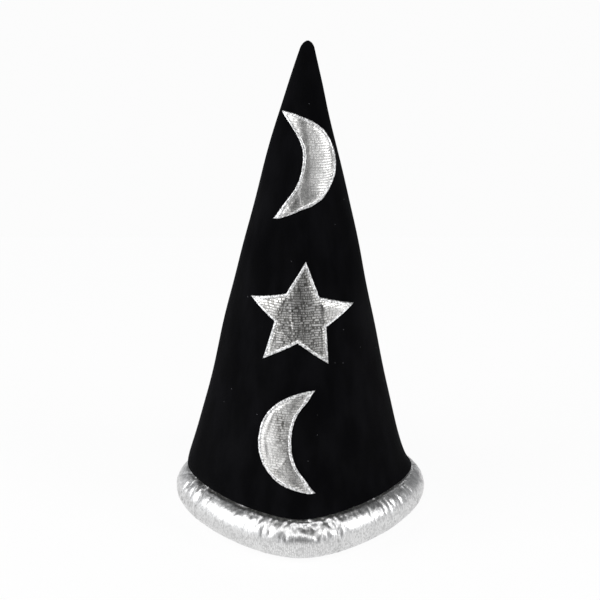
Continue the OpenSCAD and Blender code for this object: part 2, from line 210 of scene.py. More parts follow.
def on_cone(t, z, depth, worn=1.0):
    t, z = np.broadcast_arrays(np.asarray(t, float), np.asarray(z, float))
    inside = depth - dents(t, z) * worn
    x, y = oval(t, np.maximum(half_width(z) - inside, 0.2),
                np.maximum(half_depth(z) - inside, 0.2), *creases_at(z))
    return np.stack([x + sway(z), y + sway_back(z), z], axis=-1)


def cloth_rate(t, z):
    """Millimetres round the cloth per degree."""
    q = np.abs(t)
    crease, side = creases_at(z)
    along_x = (1 - side) * cosd(q) * math.pi / 180 + side * fold_rate(90 - q)
    along_y = (1 - crease) * sind(q) * math.pi / 180 + crease * fold_rate(q)
    return np.hypot(half_width(z) * along_x, half_depth(z) * along_y)


def on_cloth(p, height):
    """Points over the cloth: p holds distances round the cloth from the front, and heights."""
    s, z = p[..., 0], p[..., 1]
    t = np.zeros_like(s)
    steps = 8
    for _ in range(steps):
        middle = t + s / steps / 2 / cloth_rate(t, z)
        t = t + s / steps / cloth_rate(middle, z)
    return on_cone(t, z, -np.asarray(height))


# ---- Shape of the roll, as in the CAD source ----

def roll_middle(t):
    return np.stack(oval(t, ROLL_W / 2, ROLL_D / 2, ROLL_CREASE, ROLL_SIDE), axis=-1)


def roll_outward(t):
    d = roll_middle(t + 0.5) - roll_middle(t - 0.5)
    return np.stack([d[..., 1], -d[..., 0]], axis=-1) / np.linalg.norm(d, axis=-1)[..., None]


def on_roll(t, a, r):
    """Points of the roll's section: angle a from straight up, positive outwards."""
    t, a, r = np.broadcast_arrays(t, a, r)
    p = roll_middle(t) + (r * sind(a))[..., None] * roll_outward(t)
    return np.concatenate([p, np.maximum(ROLL_Z + r * cosd(a), 0)[..., None]], axis=-1)


def roll_angle(t, depth):
    """Angle at which the roll meets the cloth that lies depth mm inside the cone's edge."""
    edge = on_cone(t, EDGE_Z, depth, worn=0.0)[..., :2]
    out = ((edge - roll_middle(t)) * roll_outward(t)).sum(-1)
    return np.degrees(np.arcsin(out / ROLL_R))


# ---- Meshes ----

def add_object(name, data):
    made = bpy.data.objects.new(name, data)
    bpy.context.scene.collection.objects.link(made)
    return made


def add_piece(name, points, faces, uv=None):
    """Makes a mesh object from points in mm. uv holds one pair for each corner of each face."""
    mesh = bpy.data.meshes.new(name)
    mesh.from_pydata((np.asarray(points) * MM).tolist(), [], [list(f) for f in faces])
    mesh.polygons.foreach_set("use_smooth", np.ones(len(mesh.polygons), bool))
    if uv is not None:
        layer = mesh.uv_layers.new(name="Cloth")
        layer.data.foreach_set("uv", np.asarray(uv, float).ravel())
    mesh.update()
    return add_object(name, mesh)


def grid_faces(rows, cols, start=0, wrap=False):
    """Faces of a grid of points, and the row and column of each corner. A wrapped grid closes
    its columns into rings."""
    across = cols if wrap else cols - 1
    i, j = np.meshgrid(np.arange(rows - 1), np.arange(across), indexing="ij")
    i, j = i.ravel(), j.ravel()
    ri = np.stack([i, i, i + 1, i + 1], axis=1)
    cj = np.stack([j, j + 1, j + 1, j], axis=1)
    return start + ri * cols + cj % cols, ri, cj


def closed_ring(name, sections, uv=None):
    """Closed tube through sections: an array of sections x points x 3, both ways round."""
    m, n = sections.shape[:2]
    j, k = np.meshgrid(np.arange(m), np.arange(n), indexing="ij")
    j, k = j.ravel(), k.ravel()
    rows = np.stack([j, j + 1, j + 1, j], axis=1)
    cols = np.stack([k, k, k + 1, k + 1], axis=1)
    faces = (rows % m) * n + cols % n
    corners = None if uv is None else uv(rows, cols)
    return add_piece(name, sections.reshape(-1, 3), faces, corners)


def poled(name, loops, first, last):
    """Closed surface through equal loops with a pole at each end."""
    n = len(loops[0])
    points = np.concatenate([[first], np.concatenate(loops), [last]])
    side, _, _ = grid_faces(len(loops), n, start=1, wrap=True)
    end = len(points) - 1
    around = np.arange(n)
    start_fan = [[0, 1 + k, 1 + (k + 1) % n] for k in around]
    end_fan = [[end, end - n + (k + 1) % n, end - n + k] for k in around]
    side = side[:, ::-1]
    return add_piece(name, points, start_fan + side.tolist() + end_fan)


def slab(name, low, high, uv=None):
    """Closed slab between two equal grids of points."""
    r, c = low.shape[:2]
    shift = r * c
    bottom, ri, cj = grid_faces(r, c)
    index = np.arange(shift).reshape(r, c)
    rim = np.concatenate([index[0, :-1], index[:-1, -1], index[-1, :0:-1], index[:0:-1, 0]])
    after = np.roll(rim, -1)
    walls = np.stack([rim, after, shift + after, shift + rim], axis=1)
    faces = np.concatenate([bottom[:, ::-1], shift + bottom, walls])
    corners = None
    if uv is not None:
        flat = uv[ri, cj]
        where = uv.reshape(-1, 2)
        edge = np.stack([where[rim], where[after], where[after], where[rim]], axis=1)
        corners = np.concatenate([flat[:, ::-1], flat, edge])
    return add_piece(name, np.concatenate([low.reshape(-1, 3), high.reshape(-1, 3)]), faces,
                     corners)


def threads(name, ends):
    """Rows of stitches: ends holds pairs of points. Each stitch is a soft capsule that sags into
    the cloth at both ends."""
    sides, rings = 8, 7
    ends = np.asarray(ends, float)
    a, b = ends[:, 0], ends[:, 1]
    along = b - a
    along /= np.linalg.norm(along, axis=1, keepdims=True)
    up = np.where(np.abs(along[:, 2:3]) > 0.9, [[1.0, 0.0, 0.0]], [[0.0, 0.0, 1.0]])
    side = np.cross(along, up)
    side /= np.linalg.norm(side, axis=1, keepdims=True)
    up = np.cross(side, along)
    share = np.linspace(0, 1, rings)[:, None, None]
    radius = THREAD_T / 2 * np.maximum(np.sin(math.pi * share), 0.02) ** 0.35
    turn = 2 * math.pi * np.arange(sides)[:, None] / sides
    a, b, side, up = (v[:, None, None] for v in (a, b, side, up))
    points = a + (b - a) * share + radius * (side * np.cos(turn) + up * np.sin(turn))
    points = points.reshape(-1, 3)
    per = rings * sides
    one, _, _ = grid_faces(rings, sides, wrap=True)
    one = one[:, ::-1]
    caps = [list(range(sides)), list(range(per - 1, per - sides - 1, -1))]
    faces = []
    for k in range(len(ends)):
        faces += (one + k * per).tolist() + [[v + k * per for v in cap] for cap in caps]
    return add_piece(name, points, faces)


# ---- Materials ----

class Nodes:
    """A short way to write the nodes of a material or of the world."""

    def __init__(self, owner):
        self.owner = owner
        owner.use_nodes = True
        self.tree = owner.node_tree
        self.shader = self.tree.nodes.get("Principled BSDF")

    def add(self, kind, inputs=None, **values):
        node = self.tree.nodes.new("ShaderNode" + kind)
        for key, value in values.items():
            setattr(node, key, value)
        for key, value in (inputs or {}).items():
            self.put(node.inputs[key], value)
        return node

    def put(self, socket, value):
        if isinstance(value, bpy.types.NodeSocket):
            self.tree.links.new(value, socket)
        else:
            socket.default_value = value

    def math(self, operation, a, b=0.0, c=0.0):
        return self.add("Math", {0: a, 1: b, 2: c}, operation=operation).outputs[0]

    def times(self, a, b):
        return self.math("MULTIPLY", a, b)

    def noise(self, vector, scale, detail=2.0, rough=0.5):
        node = self.add("TexNoise", {"Vector": vector, "Scale": scale, "Detail": detail,
                                     "Roughness": rough})
        return node.outputs["Fac"]

    def ramp(self, value, low, high, to_low=0.0, to_high=1.0):
        node = self.add("MapRange", {"Value": value, "From Min": low, "From Max": high,
                                     "To Min": to_low, "To Max": to_high})
        node.interpolation_type = "SMOOTHSTEP"
        return node.outputs["Result"]

    def mix(self, share, a, b):
        node = self.add("Mix", data_type="RGBA")
        self.put(node.inputs["Factor"], share)
        self.put(node.inputs[6], a)
        self.put(node.inputs[7], b)
        return node.outputs[2]

    def mix_value(self, share, a, b):
        node = self.add("Mix", {0: share, 2: a, 3: b}, data_type="FLOAT")
        return node.outputs[0]

    def grey(self, low, high, share):
        return self.mix(share, (*low, 1.0), (*high, 1.0))

    def bump(self, height, distance, strength=1.0, normal=None):
        inputs = {"Height": height, "Distance": distance, "Strength": strength}
        if normal is not None:
            inputs["Normal"] = normal
        return self.add("Bump", inputs).outputs["Normal"]

    def set(self, **values):
        for key, value in values.items():
            self.put(self.shader.inputs[key.replace("_", " ")], value)

    def place(self):
        return self.add("TexCoord").outputs["Object"]

    def stretched(self, vector, scale):
        return self.add("Mapping", {"Vector": vector, "Scale": scale}).outputs["Vector"]


def new_material(name):
    return Nodes(bpy.data.materials.new(name))


def velour_material(name):
    n = new_material(name)
    place = n.place()
    nap = n.noise(place, 1500, 3)
    drift = n.noise(place, 22, 3)
    brushed = n.noise(n.stretched(place, (60, 60, 18)), 1, 3)
    cloth = n.grey((0.0014, 0.0014, 0.0018), (0.0034, 0.0034, 0.0042), n.ramp(brushed, 0.35, 0.75))
    dots = n.add("TexVoronoi", {"Vector": place, "Scale": 130.0})
    size = n.math("LESS_THAN", dots.outputs["Distance"], 0.055)
    chosen = n.add("SeparateColor", {"Color": dots.outputs["Color"]})
    few = n.math("GREATER_THAN", chosen.outputs["Red"], 0.90)
    lint = n.times(n.times(size, few), 0.55)
    n.set(Base_Color=n.mix(lint, cloth, (0.16, 0.16, 0.17, 1.0)),
          Roughness=n.ramp(drift, 0.3, 0.7, 0.86, 0.98))
    n.set(Sheen_Weight=0.013, Sheen_Roughness=0.4, Specular_IOR_Level=0.04)
    n.shader.inputs["Sheen Tint"].default_value = (0.75, 0.76, 0.85, 1.0)
    soft = n.bump(drift, 0.0012, 0.5)
    n.set(Normal=n.bump(nap, 0.0004, 0.55, soft))
    return n.owner


# Pitch of the knit's loops, how far its ribs wander, how far each rib's dashes are from its
# neighbour's in the noise, and how strongly the marked foil, partly wear and partly painted light,
# evens the knit out
LOOP_PITCH, RIB_WANDER, RIB_STEP, WEAR_AND_PAINTED_LIGHT_COVER = 0.7, 2.6, 5.7, 0.56


def silver_cloth_material(name, rib, dash, upright, dark, light, rough, depth):
    """Foiled knit: ribs of that pitch in mm, with foil left on them in dashes of about that
    length, and fine loops along each rib. Upright ribs run down the roll's section."""
    n = new_material(name)
    uv = n.add("UVMap", uv_map="Cloth").outputs["UV"]
    drift = n.add("TexNoise", {"Vector": uv, "Scale": 0.14, "Detail": 2.0}).outputs["Color"]
    wander = n.add("VectorMath", {0: drift, 1: (RIB_WANDER, RIB_WANDER, 0.0), 2: uv},
                   operation="MULTIPLY_ADD")
    split = n.add("SeparateXYZ", {"Vector": wander.outputs[0]})
    across, along = split.outputs[0], split.outputs[1]
    if not upright:
        across, along = along, across
    ribs = n.math("DIVIDE", across, rib)
    number = n.math("FLOOR", ribs)
    profile = n.math("SINE", n.times(n.math("FRACT", ribs), math.pi))
    place = n.add("CombineXYZ", {"X": n.math("DIVIDE", along, dash),
                                 "Y": n.times(number, RIB_STEP)}).outputs[0]
    foil = n.ramp(n.noise(place, 1.6, 1), 0.36, 0.56)
    loops = n.math("SINE", n.math("MULTIPLY_ADD", number, math.pi,
                                  n.times(along, 2 * math.pi / LOOP_PITCH)))
    fine = n.noise(uv, 2.1, 3)
    patchy = n.ramp(n.noise(n.stretched(uv, (0.05, 0.06, 1)), 1, 4, 0.6), 0.36, 0.66, 0.7, 1.0)
    shine = n.times(n.ramp(profile, 0.1, 0.9), n.times(foil, patchy))
    shine = n.times(shine, n.ramp(loops, -1.0, 0.4, 0.55, 1.0))
    # Marked on the patches' points: partly foil wear, partly painted highlight and shade that
    # lifts or dulls the cloth's tone
    wear_and_painted_light = n.add("Attribute", attribute_name="FoilWearAndPaintedLight").outputs["Fac"]
    share = n.mix_value(n.times(wear_and_painted_light, WEAR_AND_PAINTED_LIGHT_COVER), shine, 1.0)
    n.set(Base_Color=n.grey(dark, light, share), Metallic=1.0)
    n.set(Roughness=n.ramp(fine, 0.25, 0.75, rough, rough + 0.12))
    height = n.math("MULTIPLY_ADD", loops, 0.18, n.math("MULTIPLY_ADD", fine, 0.5, profile))
    n.set(Normal=n.bump(n.math("MULTIPLY_ADD", foil, 0.35, height), depth, 0.7))
    return n.owner


def silver_thread_material(name):
    n = new_material(name)
    place = n.place()
    twist = n.noise(place, 900, 2)
    glint = n.ramp(n.noise(place, 560, 2), 0.36, 0.60)
    n.set(Base_Color=n.grey((0.42, 0.42, 0.42), (0.98, 0.98, 0.98), glint), Metallic=0.75,
          Roughness=n.ramp(twist, 0.3, 0.7, 0.3, 0.5), Normal=n.bump(twist, 0.0002, 0.5))
    return n.owner


def plain_cloth_material(name, low, high, weave_mm, rough, sheen=0.0, depth=0.00012):
    """Woven cloth with a fine over and under weave."""
    n = new_material(name)
    place = n.place()
    turn = 2 * math.pi / (weave_mm * MM)
    split = n.add("SeparateXYZ", {"Vector": place})
    weave = [n.math("SINE", n.times(split.outputs[axis], turn)) for axis in "XYZ"]
    height = n.times(n.math("ADD", weave[0], weave[1]), weave[2])
    drift = n.noise(place, 45, 4)
    n.set(Base_Color=n.grey(low, high, drift), Roughness=rough,
          Normal=n.bump(height, depth, 0.5))
    n.set(Sheen_Weight=sheen, Specular_IOR_Level=0.3)
    return n.owner


def foam_material(name):
    n = new_material(name)
    place = n.place()
    cells = n.add("TexVoronoi", {"Vector": place, "Scale": 900.0}).outputs["Distance"]
    n.set(Base_Color=n.grey((0.70, 0.68, 0.60), (0.84, 0.82, 0.76), n.noise(place, 60, 3)),
          Roughness=0.95, Normal=n.bump(cells, 0.0004, 0.6))
    return n.owner


def fibre_material(name, low, high, scale, detail, rough, sheen, depth, strength):
    """Fibres whose noise gives both tone and relief. scale is per metre, for each axis."""
    n = new_material(name)
    fibres = n.noise(n.stretched(n.place(), scale), 1, detail)
    n.set(Base_Color=n.grey(low, high, fibres), Roughness=rough,
          Normal=n.bump(fibres, depth, strength))
    n.set(Sheen_Weight=sheen)
    return n.owner


def floor_material():
    n = new_material("pale_floor")
    place = n.place()
    tone = n.noise(place, 3, 2)
    n.set(Base_Color=n.grey((0.08, 0.08, 0.08), (0.085, 0.085, 0.085), tone), Roughness=0.9)
    n.set(Emission_Color=(1.0, 1.0, 1.0, 1.0), Emission_Strength=0.918, Specular_IOR_Level=0.0)
    return n.owner


# Each slot's kind of material, and what its function takes after the name
KINDS = {
    "velour": (velour_material,),
    "foam": (foam_material,),
    "lining": (plain_cloth_material, (0.010, 0.010, 0.012), (0.022, 0.022, 0.025), 0.8, 0.55,
               0.1),
    "band_cloth": (plain_cloth_material, (0.008, 0.008, 0.009), (0.02, 0.02, 0.022), 1.1, 0.7),
    "label_cloth": (plain_cloth_material, (0.78, 0.78, 0.76), (0.86, 0.86, 0.84), 0.5, 0.45),
    "wadding": (fibre_material, (0.84, 0.84, 0.82), (0.95, 0.95, 0.94), (420, 420, 90), 4, 0.95,
                0.3, 0.001, 0.6),
    "black_thread": (fibre_material, (0.006, 0.006, 0.007), (0.03, 0.03, 0.034),
                     (1100, 1100, 1100), 2, 0.6, 0.1, 0.0002, 0.5),
    "silver_thread": (silver_thread_material,),
    "silver_patch": (silver_cloth_material, 2.25, 2.6, False, (0.14, 0.137, 0.128),
                     (1.0, 0.99, 0.97), 0.23, 0.00014),
    "silver_cloth": (silver_cloth_material, 1.35, 4.5, True, (0.55, 0.55, 0.55),
                     (0.90, 0.90, 0.90), 0.28, 0.00007),
}
MATERIALS = {slot: make(slot, *values) for slot, (make, *values) in KINDS.items()}


def finish_piece(piece, slot, node):
    """Gives a piece its material, hangs it on the root body, and hides the CAD part it replaces.
    """
    piece.data.materials.append(MATERIALS[slot])
    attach(piece, "root")
    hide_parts(node)


# ---- Cone layers ----

HEM_ROWS = np.array([0, 0.12, 0.3, 0.55, 0.85])


def cone_columns(count):
    """Angles round the cone, closer together at the back seam."""
    even = np.linspace(-180, 180, count, endpoint=False)
    return even + 40 * sind(even)


def cone_layer(name, outer_depth, inner_depth, rows, columns, hem=0.0, low=EDGE_Z, push=None):
    """Closed wall of the cone between two depths, open at the bottom, which is at height low.
    The last hem mm of its outer face curl inwards. push(t, z) moves it further inwards."""
    t = cone_columns(columns)
    loops = []
    for depth, up, count in ((inner_depth, False, rows // 2), (outer_depth, True, rows)):
        top = HAT_H - TIP_DROP * depth
        share = (1 - np.cos(np.linspace(0, math.pi, count + 1))) / 2
        share = 0.35 * share + 0.65 * np.linspace(0, 1, count + 1)
        z = low + (top - low) * share
        if hem:
            z = np.concatenate([EDGE_Z + hem * HEM_ROWS, z[z > EDGE_Z + hem * 1.2]])
        tt, zz = np.meshgrid(t, z)
        curl = np.clip(1 - (zz - EDGE_Z) / hem, 0, 1) ** 2.2 if hem and up else 0
        grid = on_cone(tt, zz, depth + curl + (push(tt, zz) if push else 0))
        loops += list(grid) if up else list(grid[::-1])
    inner_top = HAT_H - TIP_DROP * inner_depth
    outer_top = HAT_H - TIP_DROP * outer_depth
    first = (float(sway(inner_top)), sway_back(inner_top), inner_top)
    last = (float(sway(outer_top)), sway_back(outer_top), outer_top)
    return poled(name, loops, first, last)


def lining_slack(t, z):
    """The lining hangs a little loose: soft folds that stand inwards."""
    fade = smooth((z - 95) / 60) * smooth((HAT_H - 60 - z) / 60)
    away = smooth((np.abs((t + 360) % 360 - 180) - 6) / 12)
    folds = 0.5 + 0.5 * sind(7 * t + 1.2 * z + 40 * sind(1.3 * z))
    return fade * away * (0.2 + 1.6 * folds**2)


# ---- Patches ----

# A patch's cloth reaches under its border, its underside stays just above the velour, and its
# UVs start well away from 0
UNDER_BORDER, UNDERSIDE, UV_START = BORDER_W * 0.35, 0.05, 200.0
# Pitch of the satin stitches, and their cross-section: share across the border, and height
SATIN_PITCH, PER_STITCH = 0.42, 3
SATIN_SHARES = (-0.02, -0.02, 0.10, 0.28, 0.5, 0.72, 0.90, 1.02, 1.02)
SATIN_HEIGHTS = (0.0, 0.35, 0.78, 1.0, 1.06, 1.0, 0.78, 0.35, 0.0)


def turned(p, angle):
    c, s = math.cos(math.radians(angle)), math.sin(math.radians(angle))
    return np.stack([p[..., 0] * c - p[..., 1] * s, p[..., 0] * s + p[..., 1] * c], axis=-1)


def bow_r(bow):
    return (MOON_H * MOON_H / 4 + bow * bow) / (2 * bow)


def stray(share, cut):
    """How far an edge cut by hand strays outwards, at that share of the way along it."""
    waves = sum(height * np.exp(-((share - place) / reach) ** 2) for place, reach, height in cut)
    return waves * np.minimum(1, np.minimum(share, 1 - share) / 0.06)


def moon_edges(inset, steps, cut):
    """The two edges of a moon that opens towards +X, each from its top tip to its bottom tip."""
    outer_r, inner_r = bow_r(MOON_BOW) - inset, bow_r(MOON_HOLLOW) + inset
    outer_x, inner_x = bow_r(MOON_BOW) - MOON_BOW, bow_r(MOON_HOLLOW) - MOON_HOLLOW
    apart = inner_x - outer_x
    tip_x = (apart * apart + outer_r * outer_r - inner_r * inner_r) / (2 * apart)
    tip_y = math.sqrt(outer_r * outer_r - tip_x * tip_x)
    edges = []
    share = np.linspace(0, 1, steps + 1)
    for centre, radius, reach, waves in ((outer_x, outer_r, tip_x, cut[0]),
                                         (inner_x, inner_r, tip_x - apart, cut[1])):
        first = math.degrees(math.atan2(tip_y, reach))
        a = first + (360 - 2 * first) * share
        r = radius + stray(share, waves)
        edges.append(np.stack([centre + r * cosd(a), r * sind(a)], axis=-1))
    return edges


def star_corner(i):
    k, on_notch = divmod(i % 10, 2)
    turn, grow = (STAR_NOTCHES if on_notch else STAR_POINTS)[k]
    r = (STAR_R * STAR_NOTCH if on_notch else STAR_R) + grow
    a = 90 - STAR_TURN + 36 * (i % 10) + turn
    return np.array([r * cosd(a), r * sind(a)])


def inset_corner(i, inset):
    p = star_corner(i)
    to, back = star_corner(i + 1) - p, p - star_corner(i - 1)
    n1 = np.array([-to[1], to[0]]) / np.linalg.norm(to)
    n2 = np.array([-back[1], back[0]]) / np.linalg.norm(back)
    return p + inset * (n1 + n2) / (1 + n1 @ n2)


def star_outline(inset, steps):
    """Outline of the star about its middle, anticlockwise, with so many steps on each side."""
    points = []
    for i in range(10):
        a, b = inset_corner(i, inset), inset_corner((i + 1) % 10, inset)
        points += [a + (b - a) * j / steps for j in range(steps)]
    return np.array(points)


def moon_outline(inset, steps, open_side, cut):
    """Outline of a moon about its middle, anticlockwise."""
    outer, inner = moon_edges(inset, steps, cut)
    loop = np.concatenate([outer[:-1], inner[:0:-1]]) * [open_side, 1]
    return loop if open_side > 0 else loop[::-1]


def evenly(outer, inner, pitch):
    """The two matching outlines again, with points that distance apart along the outer one."""
    closed = [np.vstack([line, line[:1]]) for line in (outer, inner)]
    step = np.linalg.norm(np.diff(closed[0], axis=0), axis=1)
    length = np.concatenate([[0], np.cumsum(step)])
    at = np.linspace(0, length[-1], int(length[-1] / pitch), endpoint=False)
    return [np.stack([np.interp(at, length, line[:, k]) for k in range(2)], axis=1)
            for line in closed]


def satin_border(name, outer, inner, place, tilt, seed):
    """Band of satin stitches: one ridge for each stitch, with uneven ends."""
    outer, inner = evenly(outer, inner, SATIN_PITCH / PER_STITCH)
    count = len(outer) - len(outer) % PER_STITCH
    outer, inner = outer[:count], inner[:count]
    across = inner - outer
    unit = across / np.maximum(np.linalg.norm(across, axis=1, keepdims=True), 1e-6)
    rng = np.random.default_rng(seed)
    stitches = count // PER_STITCH
    rough_out = np.repeat(rng.normal(0, 0.16, stitches), PER_STITCH)
    rough_in = np.repeat(rng.normal(0, 0.16, stitches), PER_STITCH)
    slow = np.repeat(rng.normal(0, 0.10, stitches // 6 + 1), PER_STITCH * 6)[:count]
    ridge = np.tile([0.0, 1.0, 0.75], stitches)
    loose = np.repeat(rng.uniform(-0.12, 0.12, stitches), PER_STITCH)
    sections = []
    for share, high in zip(SATIN_SHARES, SATIN_HEIGHTS):
        wander = rough_out * (1 - share) + rough_in * share + slow
        flat = turned(outer + across * share + unit * wander[:, None], tilt) + place
        puffed = PATCH_LIFT + BORDER_T * high * (0.86 + 0.16 * ridge + loose)
        sections.append(on_cloth(flat, puffed if high else UNDERSIDE))
    return closed_ring(name, np.stack(sections, axis=1)[:, ::-1])


def ridges(x, y, lines):
    """Raised creases of foiled cloth. Each is x1, y1, x2, y2, its height, and how far it slopes
    down on its left and on its right as seen from its first end, in mm."""
    total = np.zeros_like(x)
    for x1, y1, x2, y2, height, left, right in lines:
        dx, dy = x2 - x1, y2 - y1
        along = np.clip(((x - x1) * dx + (y - y1) * dy) / (dx * dx + dy * dy), 0, 1)
        far = np.hypot(x - x1 - along * dx, y - y1 - along * dy)
        width = np.where((y - y1) * dx - (x - x1) * dy > 0, left, right)
        total += height * np.exp(-(far / width) ** 2) * np.sin(math.pi * (0.1 + 0.8 * along))
    return total


def cloth_height(x, y, rim, lines, seed):
    """Height of a patch over the velour: tucked under its border, puffed and creased inside."""
    puff = 0.55 * smooth(rim / 5.5)
    pucker = 0.22 * flat_noise(x, y, 2.6, seed) * np.exp(-((rim - 2.2) / 2.2) ** 2)
    waves = 0.26 * flat_noise(x, y, 13, seed + 1) + 0.13 * flat_noise(x, y, 5.5, seed + 2)
    knit = 0.035 * np.sin(2 * math.pi * y / 2.4 + 1.2 * flat_noise(x, y, 9, seed + 3))
    top = PATCH_LIFT + 0.35 + puff + smooth(rim / 4) * (waves + knit + ridges(x, y, lines))
    return np.maximum(top, PATCH_LIFT + 0.15) + pucker


def mark_wear_and_painted_light(piece, flat, foil):
    """Writes on each point of a patch how light its foil is, from 0 to 1: partly foil wear, partly
    painted highlight and shade. foil is the plain value, then spots: place, reach across and
    along, how much they add."""
    plain, spots = foil
    total = np.full(flat.shape[:-1], plain)
    for x, y, reach_x, reach_y, more in spots:
        far = ((flat[..., 0] - x) / reach_x) ** 2 + ((flat[..., 1] - y) / reach_y) ** 2
        total += more * np.exp(-far)
    layer = piece.data.attributes.new("FoilWearAndPaintedLight", "FLOAT", "POINT")
    layer.data.foreach_set("value", np.tile(np.clip(total, 0, 1).ravel(), 2))


def on_velour(flat, rim, place, tilt, lines, seed):
    """Top and underside of a patch's cloth over a grid of flat points about its middle."""
    x, y = flat[..., 0], flat[..., 1]
    spread = turned(flat, tilt) + place
    top = on_cloth(spread, cloth_height(x, y, rim, lines, seed))
    return top, on_cloth(spread, np.full(x.shape, UNDERSIDE))


def moon_patch(name, place, tilt, open_side, cut, lines, foil, seed):
    """The moon is a grid of rows from its outer to its inner edge, without its very tips."""
    steps, across, at_tip = 150, 26, 2
    outer, inner = (edge[at_tip:-at_tip] for edge in moon_edges(UNDER_BORDER, steps, cut))
    share = np.linspace(0, 1, across + 1)[None, :]
    flat = outer[:, None] * (1 - share[..., None]) + inner[:, None] * share[..., None]
    flat = flat * [open_side, 1]
    width = np.linalg.norm(inner - outer, axis=1)[:, None]
    rim = np.minimum(share, 1 - share) * width
    if open_side > 0:
        flat, rim = flat[:, ::-1], rim[:, ::-1]
    flat, rim = flat[::-1], rim[::-1]
    high, low = on_velour(flat, rim, place, tilt, lines, seed)
    piece = slab(name, low, high, uv=flat + UV_START)
    mark_wear_and_painted_light(piece, flat, foil)
    return piece


def star_patch(name, place, lines, foil, seed):
    """The star is a grid of rings, from a small ring at its middle out to its border."""
    outline = star_outline(UNDER_BORDER, 22)
    count = len(outline)
    shares = np.concatenate([[0.004], np.linspace(0.03, 1, 44)])[:, None]
    rows = len(shares)
    flat = outline[None] * shares[..., None]
    rim = np.repeat((1 - shares) * STAR_R * STAR_NOTCH, count, axis=1)
    high, low = on_velour(flat, rim, place, 0, lines, seed)
    top, ring, step = grid_faces(rows, count, wrap=True)
    under = rows * count
    turn = np.arange(count)
    edge, after = under - count + turn, under - count + (turn + 1) % count
    walls = np.stack([edge, after, under + after, under + edge], axis=1)
    middle = turn.tolist()
    faces = (top[:, ::-1].tolist() + (under + top).tolist() + walls.tolist()
             + [middle, [under + v for v in middle[::-1]]])
    uv = flat + UV_START
    top_uv = uv[ring, step % count]
    rim_uv, after_uv = uv[-1], np.roll(uv[-1], -1, axis=0)
    wall_uv = np.stack([rim_uv, after_uv, after_uv, rim_uv], axis=1)
    corners = np.concatenate([top_uv[:, ::-1].reshape(-1, 2), top_uv.reshape(-1, 2),
                              wall_uv.reshape(-1, 2), uv[0], uv[0, ::-1]])
    points = np.concatenate([high.reshape(-1, 3), low.reshape(-1, 3)])
    piece = add_piece(name, points, faces, corners)
    mark_wear_and_painted_light(piece, flat, foil)
    return piece


# ---- The roll ----

def seam_gathers(t, seed):
    """Sharp uneven puckers round a gathered seam, from 0 to 1."""
    fine = ring_noise(t, 150, seed) * 0.6 + ring_noise(t, 64, seed + 1) * 0.5
    return np.clip(0.5 + fine, 0, 1.2) ** 1.6


def puckers(t, share):
    """How deep the fine puckers are near the roll's two seams, from 0 to about 1."""
    from_seam = np.minimum(share, 1 - share) * 2 * math.pi * ROLL_R
    near = np.exp(-(from_seam / PUCKER_REACH) ** 1.4) * smooth(from_seam / 2)
    return near * seam_gathers(t, 11)


def roll_grid(columns, rows):
    """Angles round the hat, angles of the section, and share of the way from the outer seam
    down, round and up to the inner one. The rows are closer together at both seams."""
    t = np.linspace(180, 540, columns, endpoint=False)[None, :]
    start = roll_angle(t, ALLOWANCE_IN - 1)
    end = roll_angle(t, ALLOWANCE_OUT + 1) + 360
    share = np.linspace(0, 1, rows + 1)[:, None]
    share = share - 0.045 * sind(720 * share)
    return np.broadcast_to(t, (rows + 1, columns)), start + (end - start) * share, share


def gather_strength(t):
    """The gathers are uneven: tightest at the front and at the left corner."""
    turn = from_front(t)
    front = np.exp(-((turn - 3) / 26) ** 2)
    left = np.exp(-((turn + 72) / 13) ** 2)
    return 0.36 + 0.16 * ring_noise(t, 14, 3) + 0.65 * front + 0.5 * left


def cut_shape(cover, t, share):
    """The roll's cloth as it was cut: longer round the hat, and as long down its section."""
    cut = cover.copy()
    extra = np.interp(share, GATHER_PLACES, GATHER_EXTRA) * gather_strength(t)
    cut[..., :2] *= 1 + extra[..., None]
    length = np.linalg.norm(np.diff(cover, axis=0), axis=2)
    run = np.linalg.norm(np.diff(cut[..., :2], axis=0), axis=2)
    rise = np.sqrt(np.maximum(length**2 - run**2, (0.2 * length) ** 2))
    step = np.where(share[1:] <= 0.5, -rise, rise)
    cut[1:, :, 2] = cut[:1, :, 2] + np.cumsum(step, axis=0)
    return cut


def sewing_form(cover, t, share):
    """The cut cloth, with a shape key that draws its two gathered seams to their places."""
    rows, columns = cover.shape[:2]
    faces, _, _ = grid_faces(rows, columns, wrap=True)
    unevenness = np.random.default_rng(7).normal(0, 0.12, cover.shape)
    unevenness[[0, -1]] = 0
    start = cut_shape(cover, t, share) + unevenness
    form = add_piece("roll_form", start.reshape(-1, 3), faces[:, ::-1])
    form.shape_key_add(name="Cut")
    sewn = form.shape_key_add(name="Sewn")
    sewn.data.foreach_set("co", (cover * MM).ravel())
    sewn.value = 0
    sewn.keyframe_insert("value", frame=1)
    sewn.value = 1
    sewn.keyframe_insert("value", frame=1 + PULL_FRAMES)
    seams = form.vertex_groups.new(name="seams")
    count = rows * columns
    seams.add(list(range(columns)) + list(range(count - columns, count)), 1.0, "REPLACE")
    return form


